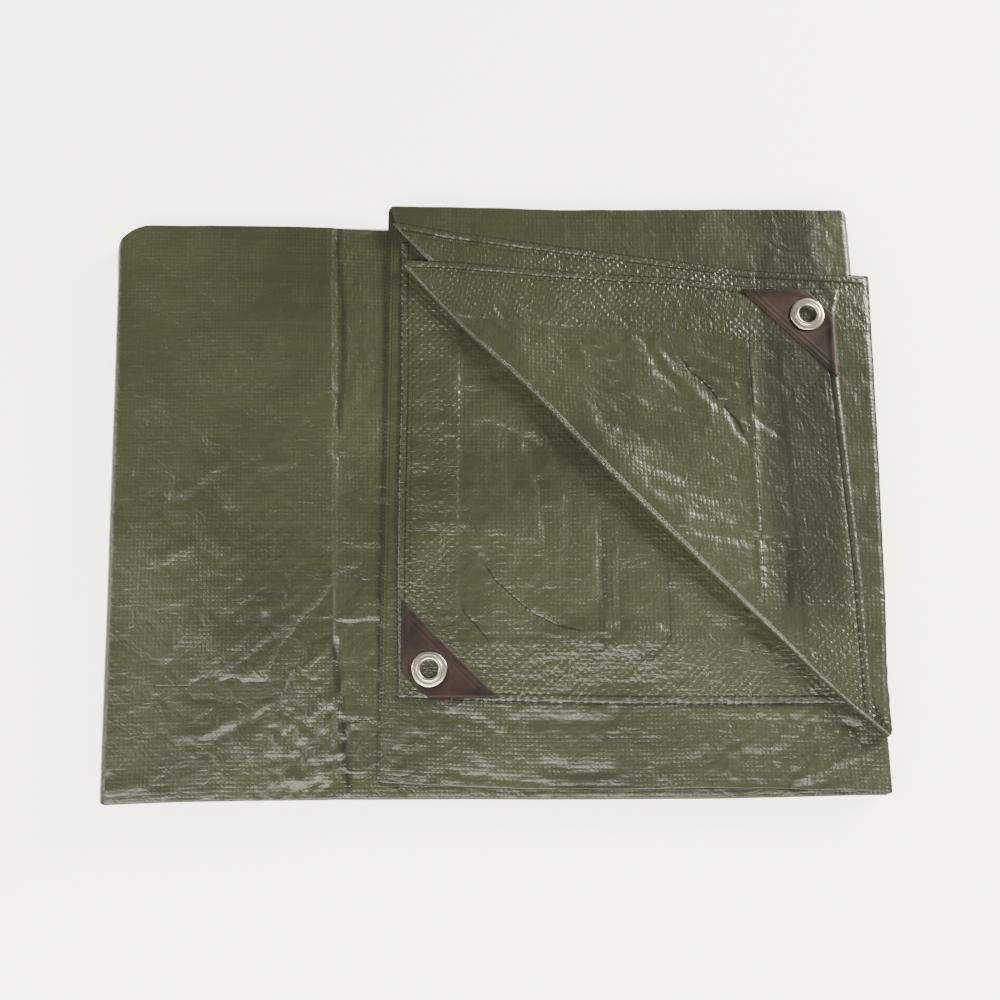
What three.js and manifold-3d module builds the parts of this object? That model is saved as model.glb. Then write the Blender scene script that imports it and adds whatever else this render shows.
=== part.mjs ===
// A folded woven tarpaulin, lying flat, in millimetres with +Z up and the origin under its middle.
// It is drawn about the middle of its strip, and toMiddle then brings the whole outline to the origin.
// The sheet is halved three times into a strip of eight sheets, and the strip is folded back and
// forth on itself. On the top panel the upper sheets are turned back along a diagonal, so that two
// corners of the sheet show, each with a plastic corner patch and an eyelet.
import * as THREE from "three";
import { mergeVertices } from "three/addons/utils/BufferGeometryUtils.js";
import Module from "manifold-3d";

const wasm = await Module();
wasm.setup();

const toMiddle = { x: 1.3, y: -0.75 };

// Cloth: the sheet lies doubled after the first halving, and the doubled cloth counts as one ply.
const ply = 1.0;
const slack = 0.3;
const pitch = ply + slack;
const columns = 4;
const bundle = columns * pitch - slack;

// Strip: the folds and edges that run along it, measured across it. Both ends of the doubled sheet,
// its first halving and its free hem, stop short of the near folds.
const farTurn = 195.55;
const nearTurn = -196.85;
const firstHalving = -146;
const freeHem = -144.5;

// Pile: where the strip folds, measured at the middle of its width, and how far each fold slants.
const rightTurn = { x: 248.5, slant: -0.024 };
const leftTurn = { x: -251, slant: -0.0296 };
const tail = { x: -99, slant: 0 };
const topEnd = { x: -71.5, slant: 0 };
const tailRamp = 12;
const farLeftRadius = 22;
const cornerReach = 60;

// The panels of the strip from the top of the pile down: the fold or end that each runs from and to,
// its place in the pile, whether its outer column lies underneath, its sideways shift at each end, and
// whether it lies over the tail.
const panels = [
  { from: topEnd, to: rightTurn, place: 3, upright: true, shiftFrom: 5.5, shiftTo: 3.5, over: false },
  { from: rightTurn, to: leftTurn, place: 2, upright: false, shiftFrom: 0, shiftTo: -4, over: true },
  { from: leftTurn, to: rightTurn, place: 1, upright: true, shiftFrom: -4, shiftTo: -1, over: true },
  { from: rightTurn, to: leftTurn, place: 0, upright: false, shiftFrom: -1, shiftTo: -3, over: false },
  { from: leftTurn, to: tail, place: 1, upright: true, shiftFrom: -3, shiftTo: -2, over: false },
];

// Top panel: the layers above its two lower plies, and how far the corner ply's side hem lies inside.
const layer = { corner: 2, flap: 3, cover: 4, coverBack: 5, flapBack: 6 };
const topFloor = 3 * (bundle + slack);
const cornerInset = 10;

// Diagonal folds of the turned plies, each from the side hem to the tip at the right-hand fold.
const tip = [255, -160];
const diagonals = {
  flap: [[-59, 159], [-14, 110], [28, 70], [63, 32], [123, -31], [184, -93], [226, -135], tip],
  cover: [[-68, 196], [95, 19], [184, -78], tip],
};

// Free edges of the turned flaps, from the upper end of the diagonal round to the tip.
const flapEdge = [[-24, 160], [48, 153.5], [123, 148.5], [174, 142.2], [239, 140.5],
  [235, 121], [235.1, 77], [239, 6], [242.3, -58], [243.5, -138]];
const coverFarEdge = [[-31, 183.5], [31, 174.5], [89, 166.5], [175, 154.5], [259, 149.5]];
const coverSideEdge = [[258.5, 83], [257.5, 3], [256, -74], [253.5, -130]];

// Corner patches and eyelets: leg and cut corner of the plastic triangle, sizes of the metal ring.
const patch = { leg: 64, chamfer: 19, thickness: 1.2, rounding: 3, inset: 1.5 };
const eyelet = { outer: 11.5, bore: 6, wall: 0.6, flange: 0.7, rim: 1.7, rimWidth: 2.6, sides: 28 };
const corners = [
  { side: "left", at: [-60, -139], turn: 0, on: layer.corner },
  { side: "right", at: [236, 141.5], turn: Math.PI, on: layer.flapBack },
];
const eyeletFromEdge = 20.3;

const lerp = THREE.MathUtils.lerp;
const smoothstep = THREE.MathUtils.smoothstep;
const heightOf = (level) => topFloor + level * pitch;

// A closed geometry becomes a solid once its shared vertices are merged.
function solidFrom(geometry) {
  const bare = geometry.clone();
  bare.deleteAttribute("normal");
  bare.deleteAttribute("uv");
  const merged = mergeVertices(bare, 1e-4);
  return new wasm.Manifold(new wasm.Mesh({
    numProp: 3,
    vertProperties: merged.attributes.position.array,
    triVerts: new Uint32Array(merged.index.array),
  }));
}

function geometryFrom(solid) {
  const { vertProperties, triVerts } = solid.getMesh();
  const geometry = new THREE.BufferGeometry();
  geometry.setAttribute("position", new THREE.BufferAttribute(new Float32Array(vertProperties), 3));
  geometry.setIndex(new THREE.BufferAttribute(new Uint32Array(triVerts), 1));
  geometry.computeVertexNormals();
  return geometry;
}

// An upright prism on an outline of [x, y] corners.
function prism(outline, floor, height) {
  const shape = new THREE.Shape(outline.map(([x, y]) => new THREE.Vector2(x, y)));
  const geometry = new THREE.ExtrudeGeometry(shape, { depth: height, bevelEnabled: false });
  return solidFrom(geometry.translate(0, 0, floor));
}

// The strip seen from its end: one line of doubled cloth, given a thickness. From the first halving
// it runs over the top to the far side, down round the outside, back and forth underneath, and ends
// inside at the free hem. "across" runs over the strip's width and "up" through its plies.
function stripSection() {
  const middle = [];
  const levelMiddle = (column) => column * pitch + ply / 2;
  const run = (from, to, column) => {
    const cuts = 2;
    for (let i = 0; i <= cuts; i += 1) {
      middle.push({ across: lerp(from, to, i / cuts), up: levelMiddle(column), heading: from < to ? 0 : Math.PI });
    }
  };
  const turn = (axis, startColumn, endColumn, startHeading, hand) => {
    const cuts = 6;
    const axisUp = (levelMiddle(startColumn) + levelMiddle(endColumn)) / 2;
    const radius = Math.abs(levelMiddle(startColumn) - levelMiddle(endColumn)) / 2;
    for (let i = 1; i < cuts; i += 1) {
      const heading = startHeading + hand * Math.PI * (i / cuts);
      middle.push({
        across: axis + hand * radius * Math.sin(heading),
        up: axisUp - hand * radius * Math.cos(heading),
        heading,
      });
    }
  };
  run(firstHalving, farTurn, 3);
  turn(farTurn, 3, 0, 0, -1);
  run(farTurn, nearTurn, 0);
  turn(nearTurn, 0, 1, Math.PI, -1);
  run(nearTurn, farTurn, 1);
  turn(farTurn, 1, 2, 0, 1);
  run(farTurn, freeHem, 2);
  const offset = ({ across, up, heading }, by) => ({
    across: across - by * Math.sin(heading),
    up: up + by * Math.cos(heading),
  });
  const rightSide = middle.map((point) => offset(point, -ply / 2));
  const leftSide = middle.map((point) => offset(point, ply / 2)).reverse();
  return [...rightSide, ...leftSide];
}

// Height of a panel's underside: where the tail of the strip lies, the panels over it are raised.
function panelFloor(panel, x) {
  const level = panel.place * (bundle + slack);
  const overTail = panel.over ? 1 - smoothstep(x, tail.x, tail.x + tailRamp) : 0;
  return level + overTail * (bundle + slack);
}

// Where a panel gets a cross-section, as x at the middle of the strip.
function panelCuts(panel) {
  const ends = [panel.from.x, panel.to.x];
  const marks = panel.over || panel.place === 3 ? [0, 125] : [];
  if (panel.over) marks.push(tail.x, tail.x + tailRamp / 3, tail.x + tailRamp * 2 / 3, tail.x + tailRamp);
  for (const inward of [3, 7, 12, 20, 60]) marks.push(leftTurn.x + inward);
  const inside = marks.filter((x) => x > Math.min(...ends) + 0.5 && x < Math.max(...ends) - 0.5);
  const sorted = [...ends, ...inside].sort((a, b) => a - b);
  return panel.from.x < panel.to.x ? sorted : sorted.reverse();
}

// Each station of the pile places a point of the strip's section in space.
function pileStations() {
  const stations = [];
  panels.forEach((panel, index) => {
    for (const x of panelCuts(panel)) {
      const along = (x - panel.from.x) / (panel.to.x - panel.from.x);
      const slant = lerp(panel.from.slant, panel.to.slant, along);
      const shift = lerp(panel.shiftFrom, panel.shiftTo, along);
      const floor = panelFloor(panel, x);
      const isTop = index === 0;
      const atTopEnd = isTop && along === 0;
      stations.push(({ across, up }) => ({
        x: x + slant * across + (atTopEnd ? hemInset(up) : 0),
        y: across + shift,
        z: floor + (panel.upright ? up : bundle - up) + (isTop ? flapRoom(up) : 0),
      }));
    }
    const next = panels[index + 1];
    if (next) stations.push(...foldStations(panel, next, index === 0));
  });
  return stations;
}

// The uppermost ply lies a pitch higher on the top panel, to make room for the flap's own ply.
function flapRoom(up) {
  return pitch * smoothstep(up, 3 * pitch - slack, 3 * pitch);
}

function hemInset(up) {
  const aboveLower = up > 2 * pitch - slack / 2;
  const belowUppermost = up < 3 * pitch - slack / 2;
  return aboveLower && belowUppermost ? cornerInset : 0;
}

// A half turn of the whole strip between two panels, about an axis halfway between them.
function foldStations(panel, next, underTop) {
  const cuts = 5;
  const fold = panel.to;
  const side = fold === rightTurn ? 1 : -1;
  const goingDown = panelFloor(panel, fold.x) > panelFloor(next, fold.x);
  const lower = goingDown ? next : panel;
  const axis = panelFloor(lower, fold.x) + bundle + slack / 2;
  return Array.from({ length: cuts - 1 }, (_, i) => {
    const done = (i + 1) / cuts;
    const angle = (goingDown ? 1 : -1) * Math.PI * (0.5 - done);
    const shift = lerp(panel.shiftTo, next.shiftFrom, done);
    return ({ across, up }) => {
      const inwards = lower.upright ? bundle - up : up;
      const radius = slack / 2 + inwards;
      const room = underTop ? flapRoom(up) * (1 + Math.sin(angle)) / 2 : 0;
      return {
        x: fold.x + fold.slant * across + side * radius * Math.cos(angle),
        y: across + shift,
        z: axis + radius * Math.sin(angle) + room,
      };
    };
  });
}

// The corner at the far end of the left-hand folds is drawn in to a round.
function drawnIn({ x, y, z }) {
  const edge = leftTurn.x - bundle - slack / 2 + leftTurn.slant * y;
  const inside = Math.min(Math.max(x - edge, 0), farLeftRadius);
  const drop = farLeftRadius - Math.sqrt(farLeftRadius ** 2 - (farLeftRadius - inside) ** 2);
  return [x, y - drop * smoothstep(y, farTurn - cornerReach, farTurn), z];
}

// The pile: the strip's section carried through every station, closed at both ends.
function pile() {
  const section = stripSection();
  const stations = pileStations();
  const count = section.length;
  const positions = stations.flatMap((place) => section.flatMap((point) => drawnIn(place(point))));
  const index = [];
  for (let s = 0; s < stations.length - 1; s += 1) {
    for (let i = 0; i < count; i += 1) {
      const a = s * count + i;
      const b = s * count + (i + 1) % count;
      index.push(a, b, b + count, a, b + count, a + count);
    }
  }
  const outline = section.map(({ across, up }) => new THREE.Vector2(across, up));
  const last = (stations.length - 1) * count;
  for (const [a, b, c] of THREE.ShapeUtils.triangulateShape(outline, [])) {
    index.push(c, b, a, last + a, last + b, last + c);
  }
  const geometry = new THREE.BufferGeometry();
  geometry.setAttribute("position", new THREE.Float32BufferAttribute(positions, 3));
  geometry.setIndex(index);
  return solidFrom(geometry);
}

// A turned ply's half-round fold along a diagonal, from the layer it leaves to the layer it joins.
// It bulges towards the lower left.
function foldAlong(line, lowLayer, highLayer) {
  const cuts = 6;
  const low = heightOf(lowLayer);
  const high = heightOf(highLayer) + ply;
  const axis = (low + high) / 2;
  const outerRadius = (high - low) / 2;
  const diagonal = Math.SQRT1_2;
  const across = (radius) => {
    const arc = Array.from({ length: cuts + 1 }, (_, i) => {
      const angle = Math.PI * (i / cuts - 0.5);
      return [radius * Math.cos(angle), radius * Math.sin(angle)];
    });
    return [[-ply, -radius], ...arc, [-ply, radius]];
  };
  const section = [...across(outerRadius), ...across(outerRadius - ply).reverse()];
  const positions = line.flatMap(([x, y]) => (
    section.flatMap(([out, up]) => [x - diagonal * out, y - diagonal * out, axis + up])
  ));
  const count = section.length;
  const index = [];
  for (let s = 0; s < line.length - 1; s += 1) {
    for (let i = 0; i < count; i += 1) {
      const a = s * count + i;
      const b = s * count + (i + 1) % count;
      index.push(a, b + count, b, a, a + count, b + count);
    }
  }
  const last = (line.length - 1) * count;
  const half = section.length / 2;
  for (let i = 0; i < half - 1; i += 1) {
    const [a, b, c, d] = [i, i + 1, count - 2 - i, count - 1 - i];
    index.push(a, b, c, a, c, d, last + a, last + c, last + b, last + a, last + d, last + c);
  }
  const geometry = new THREE.BufferGeometry();
  geometry.setAttribute("position", new THREE.Float32BufferAttribute(positions, 3));
  geometry.setIndex(index);
  return solidFrom(geometry);
}

const leaf = (outline, level) => prism(outline, heightOf(level), ply);

// The part of the top panel that lies below a diagonal, between two heights, to be cut away.
function belowDiagonal(line, floor, ceiling) {
  const reach = 290;
  const outline = [...line, [reach, tip[1]], [reach, -reach], [-reach, -reach], [-reach, line[0][1]]];
  return prism(outline, floor, ceiling - floor);
}

function hole([x, y], level) {
  const radius = eyelet.outer + slack;
  const geometry = new THREE.CylinderGeometry(radius, radius, ply + slack, eyelet.sides);
  return solidFrom(geometry.rotateX(Math.PI / 2).translate(x, y, heightOf(level) + ply / 2));
}

// The middle of a corner's eyelet, and any other point given from the corner along its two legs.
function fromCorner(corner, along, up) {
  const [x, y] = corner.at;
  const sign = corner.turn === 0 ? 1 : -1;
  return [x + sign * along, y + sign * up];
}
const eyeletCentre = (corner) => fromCorner(corner, eyeletFromEdge, eyeletFromEdge);

function tarp() {
  const { flap, cover } = diagonals;
  const flapFarEdge = [[246.5, farTurn + 4.7], [-66, farTurn + 6.5], [-61, 159]];
  const flapRightEdge = [[252, -155], [249, 0], [245, farTurn - 10]];
  const cutFrom = heightOf(layer.flap) - slack / 2;
  const solids = [
    pile().subtract(belowDiagonal(cover, cutFrom, heightOf(layer.flapBack))),
    leaf([...flap, ...flapRightEdge, ...flapFarEdge], layer.flap),
    leaf([...flap, ...flapEdge.toReversed()], layer.flapBack),
    leaf([...cover, ...coverSideEdge.toReversed(), ...coverFarEdge.toReversed()], layer.coverBack),
    foldAlong(flap, layer.flap, layer.flapBack),
    foldAlong(cover, layer.cover, layer.coverBack),
  ];
  const whole = solids.reduce((joined, next) => joined.add(next));
  return corners.reduce((cloth, corner) => cloth.subtract(hole(eyeletCentre(corner), corner.on)), whole);
}

// A plastic triangle with rounded tips and its right-angled corner cut off, drawn from the corner.
function patchGeometry() {
  const { leg, chamfer, thickness, rounding, inset } = patch;
  const shape = new THREE.Shape();
  shape.moveTo(inset, inset + chamfer);
  shape.lineTo(inset + chamfer, inset);
  shape.lineTo(inset + leg - rounding, inset);
  shape.quadraticCurveTo(inset + leg, inset, inset + leg - rounding, inset + rounding);
  shape.lineTo(inset + rounding, inset + leg - rounding);
  shape.quadraticCurveTo(inset, inset + leg, inset, inset + leg - rounding);
  shape.closePath();
  const bore = new THREE.Path();
  bore.absarc(eyeletFromEdge, eyeletFromEdge, eyelet.bore + eyelet.wall + slack, 0, 2 * Math.PI, true);
  shape.holes.push(bore);
  const options = { depth: thickness, bevelEnabled: false, curveSegments: eyelet.sides / 2 };
  return new THREE.ExtrudeGeometry(shape, options);
}

// A pressed ring: the flange under the patch, the barrel through it, and the flange and rolled rim on top.
function eyeletGeometry() {
  const { outer, bore, wall, flange, rim, rimWidth, sides } = eyelet;
  const face = patch.thickness + 2 * slack;
  const profile = [[bore, -flange], [outer, -flange], [outer, 0], [bore + wall, 0], [bore + wall, face],
    [outer, face], [outer, face + flange / 2], [outer - 1, face + flange]];
  for (let i = 0; i <= 5; i += 1) {
    const angle = Math.PI * (i / 5);
    const middle = bore + rimWidth / 2;
    profile.push([middle + rimWidth / 2 * Math.cos(angle), face + flange + (rim - flange) * Math.sin(angle)]);
  }
  profile.push(profile[0]);
  const points = profile.map(([radius, height]) => new THREE.Vector2(radius, height));
  return new THREE.LatheGeometry(points, sides).rotateX(Math.PI / 2);
}

const cloth = new THREE.MeshStandardMaterial({ color: 0x595e40, roughness: 0.45, metalness: 0 });
const plastic = new THREE.MeshStandardMaterial({ color: 0x584842, roughness: 0.4, metalness: 0 });
const metal = new THREE.MeshStandardMaterial({ color: 0xc9c2b4, roughness: 0.25, metalness: 1 });

function named(name, geometry, material) {
  const mesh = new THREE.Mesh(geometry, material);
  mesh.name = name;
  return mesh;
}

const pileGroup = new THREE.Group();
pileGroup.position.set(toMiddle.x, toMiddle.y, 0);
pileGroup.add(named("tarp", geometryFrom(tarp()), cloth));
for (const corner of corners) {
  const height = heightOf(corner.on) + ply;
  const patchMesh = named(`corner_patch_${corner.side}`, patchGeometry(), plastic);
  patchMesh.position.set(...corner.at, height + slack);
  patchMesh.rotation.z = corner.turn;
  const ring = named(`eyelet_${corner.side}`, eyeletGeometry(), metal);
  ring.position.set(...eyeletCentre(corner), height);
  pileGroup.add(patchMesh, ring);
}

const group = new THREE.Group();
group.add(pileGroup);

export default group;
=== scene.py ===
import math

import bpy
import numpy as np
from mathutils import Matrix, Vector


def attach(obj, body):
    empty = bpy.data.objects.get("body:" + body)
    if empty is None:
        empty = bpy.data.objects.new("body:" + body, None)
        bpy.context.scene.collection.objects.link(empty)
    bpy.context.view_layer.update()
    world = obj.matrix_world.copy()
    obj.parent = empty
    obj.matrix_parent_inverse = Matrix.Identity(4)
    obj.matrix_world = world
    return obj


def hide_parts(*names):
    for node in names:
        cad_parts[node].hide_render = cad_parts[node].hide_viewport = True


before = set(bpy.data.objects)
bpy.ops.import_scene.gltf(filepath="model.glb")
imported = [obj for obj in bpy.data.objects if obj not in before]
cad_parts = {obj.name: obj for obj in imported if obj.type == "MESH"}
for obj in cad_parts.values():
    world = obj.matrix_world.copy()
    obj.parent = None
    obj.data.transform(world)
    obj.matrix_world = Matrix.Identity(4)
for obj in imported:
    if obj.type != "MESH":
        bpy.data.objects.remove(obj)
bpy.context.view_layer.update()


# Camera: a still taken from nearly straight above, standing a little on the near side of the tarp.
photo_width = 1000
lens_pixels = 1200
sensor_width = 36
aim = Vector((0.0073, -0.00775, 0.020))
camera_distance = 0.798
off_vertical = math.radians(12)

camera_data = bpy.data.cameras.new("camera")
camera_data.sensor_width = sensor_width
camera_data.lens = sensor_width * lens_pixels / photo_width
camera_data.clip_start = 0.01
camera = bpy.data.objects.new("camera", camera_data)
camera.location = aim + camera_distance * Vector((0, -math.sin(off_vertical), math.cos(off_vertical)))
camera.rotation_euler = (off_vertical, 0, 0)
bpy.context.collection.objects.link(camera)
bpy.context.scene.camera = camera


# Tarp cloth: woven polyethylene tape, laminated glossy olive green, with rope hems all round. The
# sheet is halved three times into a strip of eight sheets, the strip is folded back and forth on
# itself, and the upper sheets of the top panel are turned back along a diagonal.
# All sizes are in millimetres about the middle of the strip; to_middle brings them to the origin.
to_middle = np.array([1.3, -0.75, 0.0])
ply = 1.0
slack = 0.3
pitch = ply + slack
bundle = 4 * pitch - slack
far_turn = 195.55
near_turn = -196.85
first_halving = -146
free_hem = -144.5
right_turn = {"x": 248.5, "slant": -0.024}
left_turn = {"x": -249.2, "slant": -0.033}
tail_end = {"x": -106, "slant": 0.01}
top_end = {"x": -72.7, "slant": 0}
tail_step = 3.5
tail_ramp = 31
far_left_radius = 22
corner_reach = 60
top_floor = 3 * (bundle + slack)

# The panels of the strip from the top of the pile down. edge_near and edge_far say how far the real
# outline stands off the straight fold line, as (x, offset) pairs.
panels = [
    {"start": top_end, "end": right_turn, "place": 3, "upright": True, "shift": (5.5, 3.5),
     "over": False,
     "edge_near": ((-71, 2.2), (-20, -0.2), (6, -1.0), (184, 0), (256, -1.5)),
     "edge_far": ((-72, 0.5), (-8, -0.2), (48, -1.5), (150, -0.6), (256, -0.3))},
    {"start": right_turn, "end": left_turn, "place": 2, "upright": False, "shift": (0, -4),
     "over": True,
     "edge_near": ((-250, -1.8), (-200, -0.4), (-100, 0), (25, -0.9), (187, -0.9), (256, 1)),
     "edge_far": ((-225, -4.3), (-150, -5.2), (-72, -6.8), (20, -4), (250, -2))},
    {"start": left_turn, "end": right_turn, "place": 1, "upright": True, "shift": (-4, -1),
     "over": True,
     "edge_near": ((-250, 0.6), (-60, 1.4), (90, 0.2), (250, 1.2)),
     "edge_far": ((-250, -1.8), (-110, -3.8), (-60, -3.6), (20, -0.5), (120, -1.2), (250, -0.6))},
    {"start": right_turn, "end": left_turn, "place": 0, "upright": False, "shift": (-1, -3),
     "over": False,
     "edge_near": ((-250, -0.3), (-120, 1.3), (40, 0.4), (250, 0.6)),
     "edge_far": ((-250, -3), (-90, -5), (80, -1.5), (250, -1))},
    {"start": left_turn, "end": tail_end, "place": 1, "upright": True, "shift": (-3, -2),
     "over": False,
     "edge_near": ((-250, 0.4), (-100, 0.9)),
     "edge_far": ((-250, -3.2), (-100, -6.5))},
]


def lerp(a, b, t):
    return a + (b - a) * t


def smooth(x, start, end):
    t = np.clip((x - start) / (end - start), 0, 1)
    return t * t * (3 - 2 * t)


def along(pairs, x):
    """The value at x of a smooth curve through (x, value) pairs."""
    xs, values = np.array(pairs, float).T
    slopes = np.gradient(values, xs)
    x = np.clip(x, xs[0], xs[-1])
    i = np.clip(np.searchsorted(xs, x, side="right") - 1, 0, len(xs) - 2)
    span = xs[i + 1] - xs[i]
    t = (x - xs[i]) / span
    start = values[i] * (1 + 2 * t) + span * slopes[i] * t
    end = values[i + 1] * (3 - 2 * t) - span * slopes[i + 1] * (1 - t)
    return (1 - t) ** 2 * start + t ** 2 * end


class Ripple:
    """Smooth seeded noise over a plane, about -1 to 1."""

    def __init__(self, seed):
        angle = np.random.default_rng(seed).uniform(0, 2 * np.pi, (256, 256))
        self.slope = np.stack([np.cos(angle), np.sin(angle)], -1)

    def __call__(self, x, y):
        x, y = np.broadcast_arrays(np.asarray(x, float), np.asarray(y, float))
        cell_x, cell_y = np.floor(x).astype(int), np.floor(y).astype(int)
        in_x, in_y = x - cell_x, y - cell_y
        ease_x, ease_y = [t ** 3 * (t * (6 * t - 15) + 10) for t in (in_x, in_y)]

        def corner(i, j):
            slope = self.slope[(cell_x + i) % 256, (cell_y + j) % 256]
            return slope[..., 0] * (in_x - i) + slope[..., 1] * (in_y - j)

        near = lerp(corner(0, 0), corner(1, 0), ease_x)
        far = lerp(corner(0, 1), corner(1, 1), ease_x)
        return 1.5 * lerp(near, far, ease_y)


wobble = Ripple(3)
swell = Ripple(11)
crumple = Ripple(29)
fine = Ripple(47)

# One of the two sheets of the doubled strip, seen from its end. It runs from the first halving over
# the top to the far side, down round the outside, back and forth underneath, and ends at the free
# hem. Whole numbers of q are the ends of its four runs and the three turns between them.
runs = ((first_halving, far_turn, 3, 0), (far_turn, near_turn, 0, np.pi),
        (near_turn, far_turn, 1, 0), (far_turn, free_hem, 2, np.pi))
turns = ((far_turn, 3, 0, 0, -1), (near_turn, 0, 1, np.pi, -1), (far_turn, 1, 2, 0, 1))


def thread(side, q):
    """Across and up of the sheet on that side (1 outer, -1 inner) of the doubled cloth."""
    q = np.asarray(q, float)
    across, up = np.zeros_like(q), np.zeros_like(q)
    which = np.minimum(np.floor(q).astype(int), 6)
    for i, (start, end, level, heading) in enumerate(runs):
        at = which == 2 * i
        across[at] = lerp(start, end, q[at] - 2 * i)
        up[at] = level * pitch + ply / 2 + side * ply / 2 * np.cos(heading)
    for i, (axis, above, below, heading, hand) in enumerate(turns):
        at = which == 2 * i + 1
        turned = heading + hand * np.pi * (q[at] - 2 * i - 1)
        radius = abs(above - below) * pitch / 2
        middle = (above + below) * pitch / 2 + ply / 2
        across[at] = axis + hand * radius * np.sin(turned) - side * ply / 2 * np.sin(turned)
        up[at] = middle - hand * radius * np.cos(turned) + side * ply / 2 * np.cos(turned)
    return across, up


def panel_floor(panel, x):
    past = x - tail_end["x"]
    drop = 0.24 * smooth(past, 0, tail_step) + 0.76 * np.clip((past - tail_step) / tail_ramp, 0, 1)
    over_tail = 1 - drop if panel["over"] else 0
    return (panel["place"] + over_tail) * (bundle + slack)


def edge_offset(index, x, across):
    panel = panels[index]
    far = smooth(across, 0, far_turn) * (along(panel["edge_far"], x) + 0.5 * wobble(x / 31, 5.3 * index))
    near = smooth(-across, 0, -near_turn) * (
        along(panel["edge_near"], x) + 0.5 * wobble(x / 37, 7.7 * index + 2))
    return far + near


# How far each sheet of the top panel stops short of the lowest one at the left, by its height.
side_steps = ((0, 0), (1.0, 1.6), (1.3, 0.7), (2.3, 2.4), (2.6, 4.8), (3.6, 9.5), (3.9, 4.0), (4.9, 2.2))


def flap_room(up):
    return pitch * smooth(up, 3 * pitch - slack, 3 * pitch)


def pile(s, across, up):
    """A point of the strip's section in the pile. Even whole numbers of s start the five panels, and
    odd ones the four folds between them."""
    index, part = divmod(min(int(s), 8), 2)
    done = s - min(int(s), 8)
    panel = panels[index]
    if part == 0:
        x = lerp(panel["start"]["x"], panel["end"]["x"], done)
        slant = lerp(panel["start"]["slant"], panel["end"]["slant"], done)
        z = panel_floor(panel, x) + (up if panel["upright"] else bundle - up)
        if index == 0:
            z = z + flap_room(up)
            x = x + np.interp(up, *np.array(side_steps).T) * (1 - smooth(x, -71, -50))
        y = across + lerp(*panel["shift"], done) + edge_offset(index, x, across)
        return x + slant * across, y, z + 0 * across
    after = panels[index + 1]
    fold = panel["end"]
    side = 1 if fold is right_turn else -1
    going_down = panel_floor(panel, fold["x"]) > panel_floor(after, fold["x"])
    lower = after if going_down else panel
    axis = panel_floor(lower, fold["x"]) + bundle + slack / 2
    angle = (1 if going_down else -1) * np.pi * (0.5 - done)
    radius = slack / 2 + (bundle - up if lower["upright"] else up)
    room = flap_room(up) * (1 + math.sin(angle)) / 2 if index == 0 else 0
    edge = lerp(edge_offset(index, fold["x"], across), edge_offset(index + 1, fold["x"], across), done)
    return (fold["x"] + fold["slant"] * across + side * radius * math.cos(angle),
            across + lerp(panel["shift"][1], after["shift"][0], done) + edge,
            axis + radius * math.sin(angle) + room)


def drawn_in(x, y):
    """The corner at the far end of the left-hand folds is drawn in to a round."""
    edge = left_turn["x"] - bundle - slack / 2 + left_turn["slant"] * y
    inside = np.clip(x - edge, 0, far_left_radius)
    drop = far_left_radius - np.sqrt(far_left_radius ** 2 - (far_left_radius - inside) ** 2)
    return y - drop * smooth(y, far_turn - corner_reach, far_turn)


def sweep(side, q, stations):
    """The sheet on one side of the doubled cloth, carried through the stations of the pile."""
    across, up = thread(side, q)
    rows = []
    for s in stations:
        x, y, z = pile(s, across, up)
        rows.append(np.stack([x, drawn_in(x, y), z], -1))
    return np.array(rows)


sheet_rows = []


def lay(points, weave, edges=None, keep=None):
    """Adds a grid of points to the sheet. weave is its place on the flat cloth, edges its distance
    from the side hem and the end hem, both in millimetres, and keep says which cells are wanted."""
    if edges is None:
        edges = np.full(points.shape[:2] + (2,), 500.0)
    sheet_rows.append((points, weave, edges, keep))


def strip_place(s):
    """How far a station lies along the flat strip."""
    panel, fold = 500, 8
    lengths = [320, fold, panel, fold, panel, fold, panel, fold, 152]
    whole = min(int(s), len(lengths) - 1)
    return sum(lengths[:whole]) + lengths[whole] * (s - whole)


def swept_weave(side, q, stations):
    across, up = thread(side, q)
    step = np.hypot(np.diff(across), np.diff(up))
    down = np.concatenate([[0], np.cumsum(step)])
    return np.stack(np.meshgrid([strip_place(s) for s in stations], down, indexing="ij"), -1)


def station(index, x):
    """The station of a panel at that x."""
    panel = panels[index]
    return 2 * index + (x - panel["start"]["x"]) / (panel["end"]["x"] - panel["start"]["x"])


def crease_field(creases, x, y):
    """Height of folds drawn as crest lines: (points, height, width on the left of the line and on the
    right). On either side the cloth falls away evenly over that width."""
    total = np.zeros(np.broadcast(x, y).shape)
    for line, rise, left, right in creases:
        xs, ys = np.array(line, float).T
        reach = max(left, right) + 2
        near = (x > xs.min() - reach) & (x < xs.max() + reach)
        near &= (y > ys.min() - reach) & (y < ys.max() + reach)
        if not near.any():
            continue
        px = x[near] + 0.9 * fine(x[near] / 11, y[near] / 11)
        py = y[near] + 0.9 * fine(y[near] / 11 + 40, x[near] / 11)
        nearest, width = np.full(px.shape, 1e9), np.full(px.shape, 1.0)
        for (x0, y0), (x1, y1) in zip(line, line[1:]):
            dx, dy = x1 - x0, y1 - y0
            t = np.clip(((px - x0) * dx + (py - y0) * dy) / (dx * dx + dy * dy), 0, 1)
            away = np.hypot(px - x0 - t * dx, py - y0 - t * dy)
            on_left = dx * (py - y0) - dy * (px - x0) > 0
            closer = away < nearest
            nearest = np.where(closer, away, nearest)
            width = np.where(closer, np.where(on_left, left, right), width)
        ease = np.clip(1 - nearest / width, 0, 1)
        total[near] += rise * (0.75 * ease + 0.25 * ease ** 2)
    return total


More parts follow.
